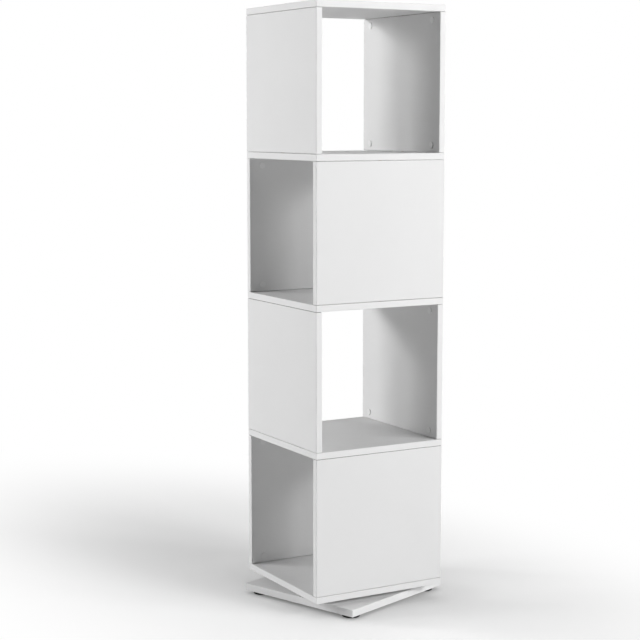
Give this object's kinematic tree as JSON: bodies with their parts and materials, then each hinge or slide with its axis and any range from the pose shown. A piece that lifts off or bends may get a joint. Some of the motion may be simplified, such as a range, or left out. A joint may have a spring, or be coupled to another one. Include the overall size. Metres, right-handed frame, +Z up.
{
  "type": "revolving bookcase",
  "caption": "Square revolving bookcase: open tiers stacked in one column, each open on two opposite sides and turned a quarter from the next, turning on a low base plate.",
  "frame": {"origin": "on the turning axis at floor level, at the middle of the underside of the glides", "axes": "+Z up along the turning axis; -Y is the front, which the picture shows on its right, and -X the left side, which the picture shows on its left"},
  "size_m": [0.448, 0.448, 1.4548],
  "materials": {
    "white_board": "white melamine face on particle board, satin, with matching edge band",
    "white_cap": "moulded white plastic, satin",
    "aluminium": "plain turned aluminium",
    "zinc_steel": "zinc-plated steel",
    "black_plastic": "moulded black plastic, satin"
  },
  "bodies": {
    "base": {"base_plate": "white_board", "glide_1": "black_plastic", "glide_2": "black_plastic", "glide_3": "black_plastic", "glide_4": "black_plastic", "lower_screw_1": "zinc_steel", "lower_screw_2": "zinc_steel", "lower_screw_3": "zinc_steel", "turntable_inner_ring": "aluminium"},
    "stack": {"bottom_board": "white_board", "shelf_1": "white_board", "shelf_2": "white_board", "shelf_3": "white_board", "tier1_left_cam_bottom_a": "white_cap", "tier1_left_cam_bottom_b": "white_cap", "tier1_left_cam_top_a": "white_cap", "tier1_left_cam_top_b": "white_cap", "tier1_left_panel": "white_board", "tier1_right_cam_bottom_a": "white_cap", "tier1_right_cam_bottom_b": "white_cap", "tier1_right_cam_top_a": "white_cap", "tier1_right_cam_top_b": "white_cap", "tier1_right_panel": "white_board", "tier2_back_cam_bottom_a": "white_cap", "tier2_back_cam_bottom_b": "white_cap", "tier2_back_cam_top_a": "white_cap", "tier2_back_cam_top_b": "white_cap", "tier2_back_panel": "white_board", "tier2_front_cam_bottom_a": "white_cap", "tier2_front_cam_bottom_b": "white_cap", "tier2_front_cam_top_a": "white_cap", "tier2_front_cam_top_b": "white_cap", "tier2_front_panel": "white_board", "tier3_left_cam_bottom_a": "white_cap", "tier3_left_cam_bottom_b": "white_cap", "tier3_left_cam_top_a": "white_cap", "tier3_left_cam_top_b": "white_cap", "tier3_left_panel": "white_board", "tier3_right_cam_bottom_a": "white_cap", "tier3_right_cam_bottom_b": "white_cap", "tier3_right_cam_top_a": "white_cap", "tier3_right_cam_top_b": "white_cap", "tier3_right_panel": "white_board", "tier4_back_cam_bottom_a": "white_cap", "tier4_back_cam_bottom_b": "white_cap", "tier4_back_cam_top_a": "white_cap", "tier4_back_cam_top_b": "white_cap", "tier4_back_panel": "white_board", "tier4_front_cam_bottom_a": "white_cap", "tier4_front_cam_bottom_b": "white_cap", "tier4_front_cam_top_a": "white_cap", "tier4_front_cam_top_b": "white_cap", "tier4_front_panel": "white_board", "top_board": "white_board", "turntable_outer_ring": "aluminium", "upper_screw_1": "zinc_steel", "upper_screw_2": "zinc_steel", "upper_screw_3": "zinc_steel"},
    "cage": {"turntable_ball_ring": "zinc_steel"}
  },
  "joints": [
    {"name": "stack_turn", "type": "hinge", "parent": "base", "child": "stack", "pos_m": [0, 0, 0.03255], "axis": [0, 0, 1], "continuous": true},
    {"name": "cage_turn", "type": "hinge", "parent": "base", "child": "cage", "pos_m": [0, 0, 0.03255], "axis": [0, 0, 1], "continuous": true}
  ],
  "couplings": [
    {"joint": "cage_turn", "follows": "stack_turn", "ratio": 0.5}
  ]
}
